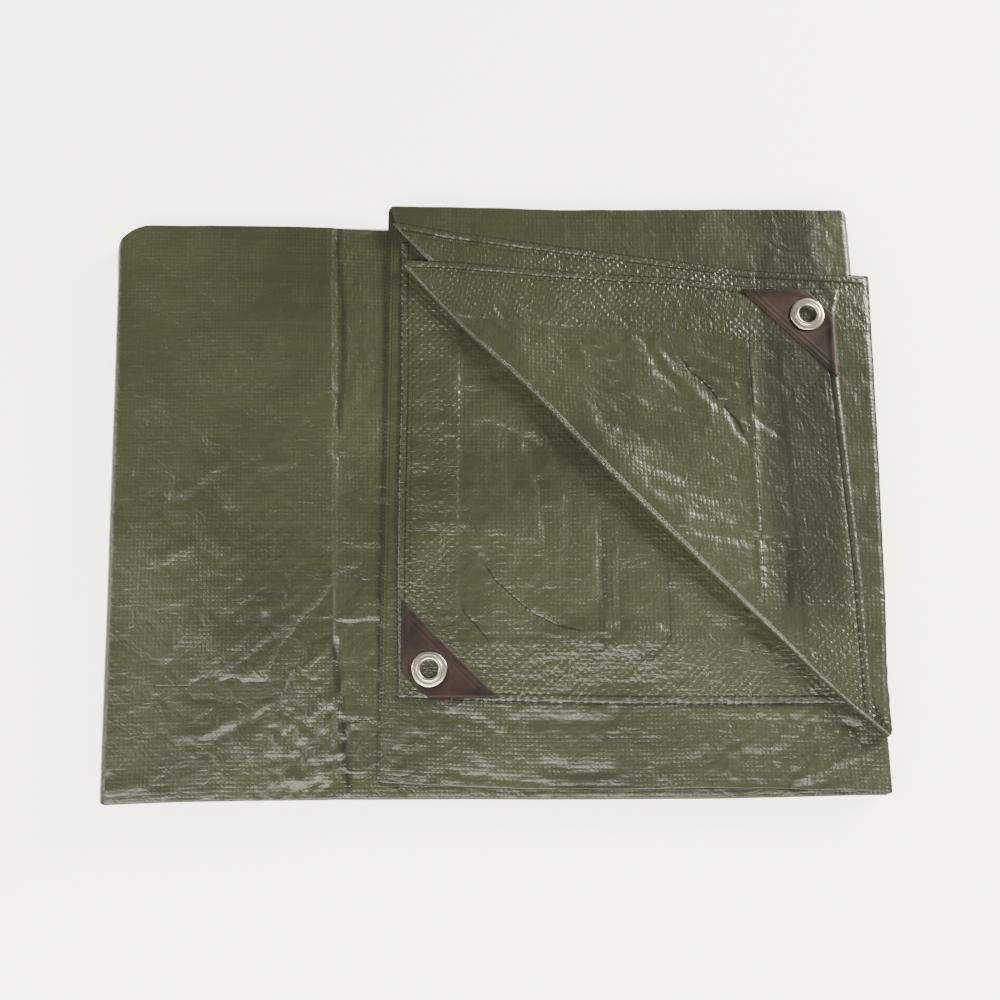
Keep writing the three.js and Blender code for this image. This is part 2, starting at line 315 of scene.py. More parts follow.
def crumple_field(zones, x, y):
    """Height of patches of small sharp wrinkles: (middle, reach, height, direction, length, width)."""
    total = np.zeros(np.broadcast(x, y).shape)
    for i, ((cx, cy), (rx, ry), height, direction, length, width) in enumerate(zones):
        mask = smooth(1 - np.hypot((x - cx) / rx, (y - cy) / ry), 0, 0.55)
        turn = math.radians(direction)
        main = x * math.cos(turn) + y * math.sin(turn)
        cross = y * math.cos(turn) - x * math.sin(turn)
        bend = 0.5 * swell(main / 43 + i, cross / 43)
        first = 1 - np.abs(crumple(main / length + 13.7 * i, cross / width + bend))
        second = 1 - np.abs(fine(main / length * 1.9 + bend, cross / width * 1.7 + 5.1 * i))
        total += height * mask * (first ** 3 + 0.45 * second ** 3 - 0.55)
    return total


# Creases of the bare base, from the photograph, as crease_field takes them. A negative height is a
# trough. The gains bring the whole list, and the crumpled patches, to the real cloth's relief.
base_crease_gain, base_crumple_gain = 1.4, 2.6
base_creases = [
    ([(-187, -134), (-158, -134), (-141, -132), (-134, -118), (-124, -103), (-111, -88), (-100, -74),
      (-91, -62)], 2.1, 11, 7.5),
    ([(-121, -118), (-112, -110), (-102, -100)], -0.8, 6, 3),
    ([(-105, -90), (-86, -90), (-69, -88)], 1.9, 3, 12),
    ([(-102, -100), (-98, -126), (-95, -151), (-90, -198)], -1, 3.5, 3.5),
    ([(-93, -148), (-72, -148)], -0.5, 3, 2),
    ([(-127, -191), (-109, -187), (-102, -164), (-99, -142)], -1.1, 15, 3),
    ([(-218, -49), (-208, -44), (-197, -37)], -0.7, 9, 5), ([(-216, -78), (-203, -74)], -0.6, 7, 4),
    ([(-210, -112), (-202, -100), (-196, -90)], -0.7, 7, 4),
    ([(-206, -2), (-191, 8), (-179, 19)], -0.8, 10, 5), ([(-149, 15), (-133, 18)], -0.6, 8, 4),
    ([(-108, 34), (-103, 24), (-96, 19)], 0.6, 4, 4), ([(-211, -15), (-188, -13)], -0.5, 7, 4),
    ([(-240, -14), (-238, 0), (-235, 12)], -0.5, 5, 4),
    ([(-176, 183), (-158, 182), (-139, 182)], 0.8, 4, 2.2),
    ([(-102, 182), (-90, 183), (-72, 184)], 0.8, 4, 2.2), ([(-158, -82), (-143, -79)], -0.4, 6, 4),
    ([(-154, -104), (-147, -97)], -0.5, 5, 4), ([(-179, -199), (-172, -193)], -0.5, 5, 3),
    ([(-158, -199), (-155, -193)], -0.4, 4, 3), ([(-129, -198), (-126, -192)], -0.5, 4, 3),
    ([(-244, -196), (-219, -192)], -0.6, 8, 4),
    ([(-198, -162), (-182, -159), (-165, -152)], -0.5, 7, 4), ([(-106, -35), (-71, -34)], -0.5, 5, 4),
    ([(-87, -73), (-70, -74)], -0.6, 5, 3), ([(-247, -130), (-187, -130)], -0.25, 2, 2),
]
base_crumples = [
    ((-140, -120), (95, 85), 0.35, 55, 34, 12),
    ((-115, -165), (45, 45), 0.7, 60, 14, 6),
    ((-92, 70), (26, 125), 0.25, 88, 30, 9), ((-160, 60), (80, 90), 0.16, 60, 34, 13),
    ((-190, -20), (70, 70), 0.25, 50, 26, 9),
]


def base_relief(x, y):
    broad = 0.8 * swell(x / 90, y / 110) + 0.35 * swell(x / 37 + 9, y / 45)
    slope_off = -1.3 * (1 - smooth(x - left_turn["x"] - left_turn["slant"] * y, -5, 13))
    creases = base_crease_gain * crease_field(base_creases, x, y)
    crumples = base_crumple_gain * crumple_field(base_crumples, x, y)
    return broad + slope_off + creases + crumples


def normals_of(points):
    side = np.gradient(points, axis=0)
    down = np.gradient(points, axis=1)
    normal = np.cross(side, down)
    return normal / np.maximum(np.linalg.norm(normal, axis=-1, keepdims=True), 1e-9)


def spread(start, end, step):
    return np.linspace(start, end, max(2, int(round(abs(end - start) / step)) + 1))


# The bare part of the base, left of the stack, finely divided: from the middle of its near turn over
# the outermost run to the middle of its far turn, and from under the stack to the left-hand fold.
step = 2.4
hidden_under_stack = -58
base_q = np.concatenate([np.linspace(1.5, 2, 7)[:-1], spread(2, 3, step / 392), np.linspace(3, 3.5, 5)[1:]])
base_stations = np.concatenate([spread(station(1, hidden_under_stack), 2.9999, step / 500),
                                np.linspace(3, 3.5, 10)])
base = sweep(1, base_q, base_stations)
rise = base_relief(base[..., 0], base[..., 1])
rise *= smooth(-base[..., 0], 64, 74)
rise *= smooth(base_q, 1.5, 2.02) * smooth(-base_q, -3.5, -2.98)
rise *= smooth(-base_stations, -3.5, -2.99)[:, None]
out = -normals_of(base)
base = base + rise[..., None] * out
lay(base, swept_weave(1, base_q, base_stations))

# The rest of the pile, coarsely divided.
coarse_turn = np.linspace(0, 1, 7)
run_cuts = np.unique(np.concatenate([np.linspace(0, 1, 15), [0.012, 0.988]]))
coarse_q = np.unique(np.round(np.concatenate(
    [run_cuts, 1 + coarse_turn, 2 + run_cuts, 3 + coarse_turn, 4 + run_cuts, 5 + coarse_turn,
     6 + run_cuts]), 6))


def panel_marks(index):
    over_tail = [-245, -230, -200, -160, -130, -106, -105, -104, -102.5, -85, -71, -58,
                 *range(-20, 221, 40), 240]
    on_top = [-66, *range(-40, 201, 40), 236]
    xs = {0: on_top, 4: [-240, -200, -150]}.get(index, over_tail)
    return [station(index, x) for x in xs]


coarse_stations = np.unique(np.round(np.concatenate(
    [[0], *[panel_marks(i) for i in range(5)],
     *[1 + 2 * i + np.linspace(0, 1, 9) for i in range(4)], [9]]), 6))


def between(values):
    return (values[1:] + values[:-1]) / 2


right_part = station(0, 236)
near_strip_end = 4 + run_cuts[4]
for side in (1, -1):
    s_mid = between(coarse_stations)[:, None]
    q_mid = between(coarse_q)[None, :]
    top = s_mid < right_part
    if side == 1:
        done = (s_mid > station(1, hidden_under_stack)) & (s_mid < 3.5) & (q_mid > 1.5) & (q_mid < 3.5)
        done |= (s_mid < 1.5) & (q_mid < 1.5)
        done |= (s_mid < 1.5) & (q_mid > 3.5) & (q_mid < near_strip_end)
    else:
        done = top & (q_mid < 0.82)
        done |= (s_mid < station(0, 0)) & (q_mid < 1)
        done |= top & (q_mid > 6.1)
    lay(sweep(side, coarse_q, coarse_stations), swept_weave(side, coarse_q, coarse_stations), keep=~done)

# Near strip of the top panel, below the corner that lies on it, and round its near turn.
strip_creases = [
    ([(-56, -148), (-43, -149)], -0.4, 4, 2), ([(-35, -149), (-8, -152)], -0.9, 6.5, 2),
    ([(-8, -152), (0, -158), (7, -162)], -0.9, 4, 2),
    ([(14, -153), (27, -152), (41, -152), (75, -154), (84, -145)], -1.1, 10, 2.5),
    ([(-26, -184), (-9, -188), (23, -190), (50, -193), (87, -193)], -0.8, 4, 2),
    ([(34, -183), (54, -185), (73, -185)], -1.3, 10, 3), ([(28, -182), (38, -189)], 0.7, 3, 3),
    ([(-13, -168), (4, -180)], 0.5, 4, 4), ([(-8, -168), (-3, -176)], 0.5, 3, 3),
    ([(149, -152), (173, -153), (196, -153)], -0.8, 6, 2.5),
    ([(197, -153), (209, -154), (231, -156), (237, -170)], -1.1, 10, 3),
    ([(162, -174), (188, -173)], -0.8, 6, 2), ([(159, -180), (191, -179)], -0.8, 6, 2),
    ([(157, -185), (190, -185)], -0.8, 6, 2), ([(154, -191), (190, -192)], -0.9, 6, 2.5),
    ([(197, -188), (211, -182), (241, -170)], 1, 3, 3),
    ([(200, -193), (215, -191), (225, -183)], -0.9, 8, 3), ([(200, -178), (203, -185)], 0.9, 4, 4),
    ([(234, -185), (240, -177)], -0.7, 5, 3), ([(101, -181), (127, -177)], -0.4, 7, 5),
    ([(133, -177), (148, -171)], -0.4, 6, 5),
]
strip_crumple_gain = 1.6
strip_crumples = [
    ((215, -166), (60, 40), 0.6, 60, 14, 7),
    ((8, -146), (22, 16), 0.9, 60, 9, 4),
    ((-35, -175), (50, 30), 0.4, 30, 16, 7),
    ((170, -172), (50, 30), 0.4, 40, 12, 6),
]


def strip_relief(x, y):
    broad = 0.5 * swell(x / 70 + 5, y / 60) + 0.3 * swell(x / 28, y / 31 + 3)
    marks = crease_field(strip_creases, x, y)
    return broad + marks + strip_crumple_gain * crumple_field(strip_crumples, x, y)


strip_q = np.concatenate([np.linspace(3.5, 4, 7)[:-1], spread(4, near_strip_end, step / 392)])
strip_stations = np.concatenate([spread(0, 0.9999, step / 320), np.linspace(1, 1.5, 7)])
strip = sweep(1, strip_q, strip_stations)
rise = strip_relief(strip[..., 0], strip[..., 1])
rise *= smooth(strip_q, 3.5, 3.98) * (1 - smooth(strip[..., 1], -146, -139))
rise *= smooth(-strip_stations, -1.5, -1)[:, None]
strip = strip + rise[..., None] * normals_of(strip)
lay(strip, swept_weave(1, strip_q, strip_stations))

# The upper sheet of the cover at the right-hand fold, gathered in small pleats.
pleat_q = np.concatenate([spread(0, 0.9999, 3 / 342), np.linspace(1, 1.5, 5)])
pleat_stations = np.concatenate([spread(right_part, 0.9999, 2 / 320), np.linspace(1, 1.5, 9)])
pleated = sweep(1, pleat_q, pleat_stations)
pleat_rise = 0.8 * fine(pleated[..., 0] / 40, pleated[..., 1] / 9) + 0.5
pleat_rise *= smooth(-pleat_q, -1.5, -1) * smooth(-pleat_stations, -1.5, -1.3)[:, None]
pleated[..., 0] += pleat_rise * smooth(pleated[..., 0], 238, 252)
lay(pleated, swept_weave(1, pleat_q, pleat_stations))

# Corner that stays down: the upper sheet of the corner ply, cut to its measured edges. Both its free
# edges are hemmed over a rope.
hem_width = 40
rope_middle = 2.7


def height(n):
    return top_floor + n


def hem_relief(*distances):
    """The hem's rope ridge, its doubled cloth and its rounded edge, from the distances to the edges."""
    ridge = sum(0.5 * np.exp(-((d - rope_middle) / 1.9) ** 2) - 0.35 * np.exp(-((d - 5.4) / 1.0) ** 2)
                for d in distances)
    doubled = 0.4 * (1 - np.prod([smooth(d, hem_width - 1.5, hem_width + 1.5) for d in distances], 0))
    lip = -0.9 * (1 - smooth(np.min(distances, 0), 0, 1.1))
    return np.minimum(ridge, 1.3) + doubled + lip


corner_left = ((-145, -60), (-136, -60), (-74, -61.5), (-7, -62), (77, -61.7), (135, -62.7), (200, -63))
corner_near = ((-62, -137.7), (-59, -137.6), (8.6, -139.8), (115, -141.4), (225, -141), (260, -141))
corner_crease_gain, corner_crumple_gain = 1.5, 2.5
corner_creases = [
    ([(-20, 78), (-8, 79), (3, 77)], -0.8, 5, 3), ([(-20, 67), (-6, 67)], -0.8, 5, 3),
    ([(6, 55), (13, 58), (20, 62)], 0.5, 3, 3), ([(-7, 43), (6, 41), (19, 36), (30, 30)], -0.9, 8, 2.5),
    ([(-19, 24), (-14, 29), (-1, 33), (13, 34)], -0.5, 3, 3),
    ([(28, 45), (35, 34), (39, 19)], 0.8, 4, 4), ([(32, 7), (35, -10), (36, -34)], -0.9, 4, 4),
    ([(52, -4), (51, -54)], -0.8, 5, 5), ([(74, -10), (73, -74)], -0.8, 5, 5),
    ([(86, -20), (85, -89)], -0.6, 4, 4), ([(65, 7), (66, -15)], -0.6, 4, 4),
    ([(-18, -20), (-5, -39)], 0.6, 4, 4), ([(-14, -39), (3, -53)], -0.6, 3, 2.5),
    ([(-7, -47), (5, -63), (28, -83), (41, -89), (65, -95)], -0.7, 2.5, 3),
    ([(-18, -74), (-17, -85), (-7, -90)], -0.5, 3, 3), ([(48, -105), (71, -106)], -0.7, 8, 2),
    ([(48, -113), (90, -114)], -0.8, 8, 2), ([(52, -120), (104, -120)], -0.9, 8, 2),
    ([(54, -128), (106, -128)], -0.9, 8, 2), ([(45, -134), (106, -135)], -0.9, 7, 2),
    ([(-6, -111), (5, -110)], -0.6, 6, 2.5), ([(-4, -118), (7, -117)], -0.6, 6, 2.5),
    ([(-4, -126), (8, -125)], -0.6, 6, 2.5), ([(25, -97), (33, -97)], -0.6, 7, 3),
    ([(25, -108), (34, -106)], -0.6, 7, 3), ([(25, -117), (34, -116)], -0.6, 7, 3),
    ([(24, -126), (32, -126)], -0.6, 7, 3), ([(-54, 110), (-35, 109)], -0.4, 9, 5),
    ([(-53, 89), (-31, 89)], -0.4, 9, 5), ([(-53, 54), (-28, 54)], -0.5, 10, 6),
    ([(-52, 32), (-30, 32)], -0.4, 8, 5), ([(-52, 10), (-30, 10)], -0.4, 9, 5),
    ([(-50, -19), (-5, -18)], -0.4, 8, 5), ([(-50, -29), (-14, -30)], -0.4, 8, 5),
    ([(50, -92), (80, -91), (112, -93)], 1.5, 3, 34), ([(146, -93), (169, -95)], -0.5, 6, 4),
    ([(97, -113), (115, -100)], -0.5, 7, 5),
]
corner_crumples = [
    ((20, -20), (80, 90), 0.3, 80, 26, 9),
    ((0, 60), (60, 60), 0.3, 10, 24, 10), ((-44, 40), (24, 110), 0.3, 4, 18, 8),
    ((75, -110), (60, 40), 0.4, 5, 14, 6),
    ((5, -110), (40, 30), 0.4, 60, 14, 6),
    ((130, -90), (70, 60), 0.2, -30, 26, 9),
]


def corner_relief(x, y):
    calm = smooth(np.hypot(x + 39.7, y + 118.7), 34, 58)
    broad = 0.6 * swell(x / 60 + 2, y / 70 + 8) + 0.35 * swell(x / 27, y / 33)
    creases = corner_crease_gain * crease_field(corner_creases, x, y)
    crumples = corner_crumple_gain * crumple_field(corner_crumples, x, y)
    return 0.3 + calm * (broad + creases + crumples)


corner_x, corner_y = np.meshgrid(np.concatenate([[-61, -60.2], spread(-59, 244, 2.6)]),
                                 np.concatenate([[-139.5, -138.7], spread(-137.5, 176, 2.6)]), indexing="ij")
left_edge, near_edge = along(corner_left, corner_y), along(corner_near, corner_x)
x = corner_x + (left_edge + 61) * (1 - smooth(corner_x, -61, -10))
y = corner_y + (near_edge + 139.5) * (1 - smooth(corner_y, -139.5, -90))
from_left, from_near = corner_x + 61, corner_y + 139.5
rise = corner_relief(x, y) * smooth(np.minimum(from_left, from_near), 0, 12)
rise = rise + hem_relief(from_left, from_near)
corner = np.stack([x, y, height(3.6) + rise], -1)
distances = np.stack([from_left, from_near], -1)
lay(corner, distances, distances)

# Turned sheets: each is ruled in lines at right angles to its diagonal fold. On every line the sheet
# comes from under the fold, rolls over it and runs back up to its free edge.
half = math.sqrt(0.5)


def slanted(points):
    """(x, y) points as (place along the diagonal, distance up and to the right of it)."""
    return [((x - y) * half, (x + y) * half) for x, y in points]


def straight(points, w):
    ws, es = np.array(slanted(points)).T
    return np.interp(w, ws, es)


def turned_sheet(w, axis, edge, under_edge, low, high, radius, under_cuts, top_cuts, settle, relief, over=0):
    """One sheet turned over a diagonal. low and high are its two heights, radius that of its roll."""
    w = w[:, None]
    axis_e = along(slanted(axis), w)
    edge_e = np.maximum(straight(edge, w) + over, axis_e + 0.6)
    far_e = np.maximum(straight(under_edge, w), axis_e + 0.6)
    radius = radius + 0 * w
    angle = np.linspace(0, np.pi, 13)[None, 1:-1]
    under = lerp(far_e, axis_e, under_cuts[None, :])
    rolled = axis_e - radius * np.sin(angle)
    length = edge_e - axis_e
    cuts = np.concatenate([top_cuts, [1]])[None, :]
    on_top = lerp(axis_e, edge_e, cuts)
    on_top[:, -2] = np.maximum(edge_e[:, 0] - 1.0, on_top[:, -3])
    lift = (low + 2 * radius - high) * (1 - smooth(on_top - axis_e, 0, settle))
    heights = np.concatenate([low + 0 * under, low + radius * (1 - np.cos(angle)), high + lift], 1)
    e = np.concatenate([under, rolled, on_top], 1)
    w = np.broadcast_to(w, e.shape)
    x, y = (w + e) * half, (e - w) * half
    turned = np.zeros(e.shape, bool)
    turned[:, -on_top.shape[1]:] = True
    gain, weave, distances = relief(x, y, turned, on_top - axis_e)
    return np.stack([x, y, height(heights) + gain], -1), weave, distances


flap_axis = [(-59, 159), (-14, 110), (28, 70), (63, 32), (123, -31), (184, -93), (226, -135), (255, -160)]
flap_top = [(-61, 161.2), (-24, 160), (48, 153.5), (123, 148.5), (174, 142.2), (239, 140.5)]
flap_side = [(235, 121), (235.1, 77), (239, 6), (242.3, -58), (243.5, -138)]
flap_under = [(-66, 202), (246.5, 200), (245, 185.5), (249, 0), (252, -155)]
flap_crease_gain, flap_crumple_gain = 1.2, 1.5
flap_creases = [
    ([(66, 95), (84, 96)], -0.8, 4.5, 2.5), ([(77, 87), (95, 87)], -0.8, 4.5, 2.5),
    ([(82, 71), (95, 73), (102, 73)], -0.6, 4, 3), ([(83, 64), (91, 61)], -0.6, 4, 3),
    ([(104, 105), (114, 82), (125, 72)], -0.9, 5, 4),
    ([(115, 100), (127, 83), (142, 69), (153, 57)], -1, 5, 4),
    ([(127, 95), (132, 84), (146, 71), (159, 55), (165, 41), (172, 32)], -1.1, 3, 3.5),
    ([(136, 82), (156, 77), (173, 71)], -0.9, 6, 3), ([(131, 88), (141, 88)], -0.6, 4, 2),
    ([(154, 58), (173, 61)], -0.7, 5, 3), ([(164, 50), (174, 45)], -0.7, 5, 3),
    ([(177, 50), (184, 44), (192, 38)], -0.9, 5, 3), ([(151, 93), (158, 89)], -0.5, 4, 3),
    ([(105, 60), (117, 59), (130, 55), (142, 56)], -0.9, 6, 3), ([(83, 30), (100, 30)], -0.9, 6, 3),
    ([(102, 16), (109, 12), (119, 8), (139, 8)], -0.7, 7, 3),
    ([(117, -4), (148, -7), (169, -8)], -1, 7, 3), ([(135, -18), (154, -17), (175, -15)], -1, 7, 3),
    ([(137, -30), (157, -34), (175, -38)], -1.1, 10, 4), ([(179, -36), (193, -36)], -0.8, 8, 3),
    ([(194, -69), (195, -39)], -1.3, 17, 3),
    ([(176, 99), (176, 26), (176, -21), (176, -74)], 0.9, 2.2, 3),
    ([(169, 98), (203, 95)], 0.4, 2.5, 2.5), ([(219, -74), (237, -74)], -0.5, 9, 6),
    ([(220, -89), (237, -89)], -0.5, 9, 6), ([(221, -104), (236, -104)], -0.5, 9, 6),
    ([(73, 47), (88, 39)], -0.5, 6, 5), ([(99, 12), (109, -1), (120, -11)], -0.6, 6, 5),
]
flap_crumples = [
    ((118, 66), (80, 70), 0.35, -30, 24, 8),
    ((60, 110), (70, 50), 0.3, -35, 20, 8),
    ((150, -5), (60, 40), 0.35, 0, 18, 7),
    ((10, 130), (70, 30), 0.25, -30, 20, 8),
]


def flap_relief(x, y, turned, beyond):
    top = np.array(flap_top)
    side = np.array(flap_side)
    from_top = np.interp(x, top[:, 0], top[:, 1]) - y
    from_side = np.interp(-y, -side[:, 1], side[:, 0]) - x
    from_side = np.where(y > 121, lerp(235, 239, (y - 121) / 19.5) - x, from_side)
    calm = smooth(np.hypot(x - 215.7, y - 121.2), 34, 58)
    start = smooth(np.concatenate([np.zeros((len(x), x.shape[1] - beyond.shape[1])), beyond], 1), 0, 10)
    broad = 0.6 * swell(x / 62 + 31, y / 70) + 0.35 * swell(x / 29 + 3, y / 33 + 21)
    creases = flap_crease_gain * crease_field(flap_creases, x, y)
    wrinkles = creases + flap_crumple_gain * crumple_field(flap_crumples, x, y)
    inside = smooth(np.minimum(from_top, from_side), 0, 12)
    gain = start * calm * inside * (0.3 + broad + wrinkles) + hem_relief(from_top, from_side)
    distances = np.stack([from_top, from_side], -1)
    # Below the roll the same sheet lies face down, and its weave goes on past the fold.
    weave = np.where(turned[..., None], distances, np.stack([x, y], -1))
    distances = np.where(turned[..., None], distances, 500.0)
    return np.where(turned, gain, 0), weave, distances


flap_w = np.concatenate([spread(-154, 69.6, 2.4), spread(71.9, 293, 2.4)])
flap_radius = 2.9 + 1.7 * np.exp(-((flap_w - 50) / 110) ** 2)[:, None]
flap_cuts = np.linspace(0, 1, 86)
flap = turned_sheet(flap_w, flap_axis, flap_top + flap_side + [(255, -160)], flap_under, 3.9, 8.8,
                    flap_radius, np.linspace(0, 1, 7), flap_cuts, 40, flap_relief)
lay(*flap)

# The cover's two sheets, turned together over the second diagonal. The lower one comes out on top.
cover_axis = [(-68, 189.5), (-43, 162.5), (20, 97), (95, 19), (184, -78), (255, -160)]
cover_top = [(-68, 190.5), (-31, 183.5), (31, 174.5), (89, 166.5), (175, 154.5), (259, 149.5)]
cover_side = [(258.5, 83), (257.5, 3), (256, -74), (253.5, -130)]
cover_under = [(-60, 198), (236, 145), (236, -140), (253, -159)]


def cover_relief(x, y, turned, beyond):
    top = np.array(cover_top)
    side = np.array(cover_side)
    from_top = np.interp(x, top[:, 0], top[:, 1]) - y
    from_side = np.interp(-y, -side[:, 1], side[:, 0]) - x
    gathers = 0.55 * fine(x / 30, y / 8.5) * (1 - smooth(from_side, 2, 26)) * smooth(from_top, 0, 20)
    broad = 0.35 * swell(x / 50 + 12, y / 12 + 5) + 0.3 * fine(x / 22, y / 9)
    lip = -0.8 * (1 - smooth(from_side, 0, 1.5))
    gain = broad * smooth(from_top, 0, 8) + gathers + lip + hem_relief(from_top, 0 * from_top + 500)
    distances = np.stack([from_top, 0 * from_top + 500], -1)
    weave = np.where(turned[..., None], np.stack([from_top, from_side], -1), np.stack([x, y], -1))
    distances = np.where(turned[..., None], distances, 500.0)
    return np.where(turned, gain, 0), weave, distances


cover_w = np.concatenate([spread(-182, 77.4, 3), spread(80.4, 293, 3)])
cover_cuts = np.concatenate([np.linspace(0, 0.72, 6), np.linspace(0.75, 1, 18)])
for low, high, radius, over in ((5.2, 7.5, 1.15, 0), (6.2, 6.5, 0.15, 2.2)):
    lay(*turned_sheet(cover_w, cover_axis, cover_top + cover_side + [(255, -160)], cover_under, low, high,
                      radius, np.linspace(0, 1, 5), cover_cuts, 8, cover_relief, over=over))

# Far strip: the cover's own upper sheet between its turned part and the far turn of the strip.
far_q = np.concatenate([spread(0.80, 0.9999, 2.5 / 342), np.linspace(1, 1.5, 6)])
far_stations = spread(0, right_part, 2.5 / 320)
far_strip = sweep(1, far_q, far_stations)
far_strip[..., 0] += (
    (3.5 * smooth(-far_strip[..., 1], -203, -188)) * (1 - smooth(far_strip[..., 0], -71, -40)))
rise = 0.4 * swell(far_strip[..., 0] / 60, far_strip[..., 1] / 20) + 0.35 * fine(far_strip[..., 0] / 26, 3.0)
rise = (rise + 0.3) * smooth(-far_q, -1.5, -1.0)
rise = rise * smooth(-far_stations, -right_part, -right_part + 0.03)[:, None]
far_strip[..., 2] += rise
middle = (far_strip[1:, 1:] + far_strip[:-1, :-1]) / 2
beyond_axis = (middle[..., 0] + middle[..., 1]) * half - along(
    slanted(cover_axis), (middle[..., 0] - middle[..., 1]) * half)
above = (beyond_axis > 2) | (middle[..., 1] > 189)
lay(far_strip, swept_weave(1, far_q, far_stations), keep=above)


def joined(grids):
    """One mesh's points, faces and two point fields, from the grids of the sheet."""
    points, faces, weaves, edges, count = [], [], [], [], 0
    for grid, weave, edge, keep in grids:
        rows, columns = grid.shape[:2]
        index = count + np.arange(rows * columns).reshape(rows, columns)
        cells = np.stack([index[:-1, :-1], index[1:, :-1], index[1:, 1:], index[:-1, 1:]], -1)
        faces.append(cells[keep] if keep is not None else cells.reshape(-1, 4))
        points.append(grid.reshape(-1, 3))
        weaves.append(weave.reshape(-1, 2))
        edges.append(edge.reshape(-1, 2))
        count += rows * columns
    return [np.concatenate(part) for part in (points, faces, weaves, edges)]


def mesh_object(name, points, faces):
    mesh = bpy.data.meshes.new(name)
    mesh.from_pydata([tuple(p) for p in (points + to_middle) / 1000], [], [tuple(f) for f in faces])
    mesh.shade_smooth()
    piece = bpy.data.objects.new(name, mesh)
    bpy.context.collection.objects.link(piece)
    return piece


points, faces, weave, edges = joined(sheet_rows)
used = np.zeros(len(points), bool)
used[faces] = True
renumber = np.cumsum(used) - 1
points, weave, edges, faces = points[used], weave[used], edges[used], renumber[faces]
tarp = mesh_object("tarp_cloth", points, faces.tolist())


def write_field(name, field):
    """Keeps two values on each point of the tarp, for its material."""
    layer = tarp.data.attributes.new(name, "FLOAT_VECTOR", "POINT")
    layer.data.foreach_set("vector", np.column_stack([field, 0 * field[:, 0]]).ravel())


write_field("weave", weave / 1000)
write_field("hem", edges / 1000)

# Sharp folds, thinner than the sheet's own points, as (places, half width, depth of shade). The field
# holds the place across the nearest fold, in half widths, and its depth there.
far_off = 99
sharp_folds = [
    ([(-105.8, 189), (-107.8, 170.7), (-102.6, 133), (-101.6, 100.3), (-101.4, 71.6), (-103.8, 37)],
     4.0, 0.45),
    ([(-101.6, -99.5), (-97.5, -131.9), (-94.2, -157.2), (-89.3, -198.4)], 5, 0.6),
    ([(-185.8, -196.2), (-176, -186.7)], 0.9, 0.5),
    ([(-108.5, -150), (-93.9, -150.7), (-73.1, -150.7)], 1.0, 0.6),
    ([(-224.4, -129.2), (-188.7, -129.9)], 0.9, 0.4),
    ([(127.3, 94.9), (133.9, 82.4), (146.5, 71), (155.7, 57.5), (162.8, 49.7), (171.8, 33.2)], 1.5, 0.8),
    ([(175.9, 110.7), (174.8, 90.9), (176.1, 46.9), (178.1, -21.4), (177.1, -80.8)], 1.0, 0.6),
    ([(175.7, 98.7), (194.9, 96.5), (207, 96.5)], 0.8, 0.4),
    ([(-5.3, -47.4), (3.9, -61.8), (27.1, -82), (43.7, -90.3), (63, -94.8)], 1.1, 0.75),
    ([(-18.7, -73.5), (-17.4, -81.3), (-10.3, -89.1), (-3.8, -96.8), (0, -104.5)], 1.4, 0.6),
    ([(73, -14), (74.5, -60), (71.7, -109.6)], 5.5, 0.25),
    ([(80, -17.4), (84.5, -60), (83.8, -104.5)], 3.8, 0.18),
    ([(116.5, -47.4), (117.5, -80), (114.8, -106.3)], 3, 0.25),
]
fold_field = np.zeros((len(points), 2))
fold_field[:, 0] = far_off
for places, half_width, depth in sharp_folds:
    run = 0
    whole = sum(math.dist(a, b) for a, b in zip(places, places[1:]))
    for (x0, y0), (x1, y1) in zip(places, places[1:]):
        dx, dy = x1 - x0, y1 - y0
        px = points[:, 0] + 0.5 * fine(points[:, 0] / 9, points[:, 1] / 9) - x0
        py = points[:, 1] + 0.5 * fine(points[:, 1] / 9 + 7, points[:, 0] / 9) - y0
        length = math.hypot(dx, dy)
        t = np.clip((px * dx + py * dy) / length ** 2, 0, 1)
        away = np.hypot(px - t * dx, py - t * dy)
        side = np.where(dx * py - dy * px > 0, 1, -1)
        at = run + t * length
        closer = (away < half_width + 4) & (away / half_width < np.abs(fold_field[:, 0]))
        fade = smooth(at, 0, 7) * smooth(whole - at, 0, 7)
        fold_field[closer, 0] = (side * away / half_width)[closer]
        fold_field[closer, 1] = (depth * fade)[closer]
        run += length
write_field("fold", fold_field)
tarp.data.validate()


class Wire:
    """A shader socket that takes part in Python sums. Its numbers go through Math nodes."""

    def __init__(self, socket):
        self.socket = socket

    def sum(self, operation, *values):
        tree = self.socket.id_data
        node = tree.nodes.new("ShaderNodeMath")
        node.operation = operation
        for socket, value in zip(node.inputs, values):
            if isinstance(value, Wire):
                tree.links.new(value.socket, socket)
            else:
                socket.default_value = value
        return Wire(node.outputs[0])

    def __add__(self, other): return self.sum("ADD", self, other)
    def __radd__(self, other): return self.sum("ADD", other, self)
    def __sub__(self, other): return self.sum("SUBTRACT", self, other)
    def __rsub__(self, other): return self.sum("SUBTRACT", other, self)
    def __mul__(self, other): return self.sum("MULTIPLY", self, other)
    def __rmul__(self, other): return self.sum("MULTIPLY", other, self)
    def __pow__(self, other): return self.sum("POWER", self, other)
    def __abs__(self): return self.sum("ABSOLUTE", self)
    def sine(self): return self.sum("SINE", self)
    def least(self, other): return self.sum("MINIMUM", self, other)
    def most(self, other): return self.sum("MAXIMUM", self, other)


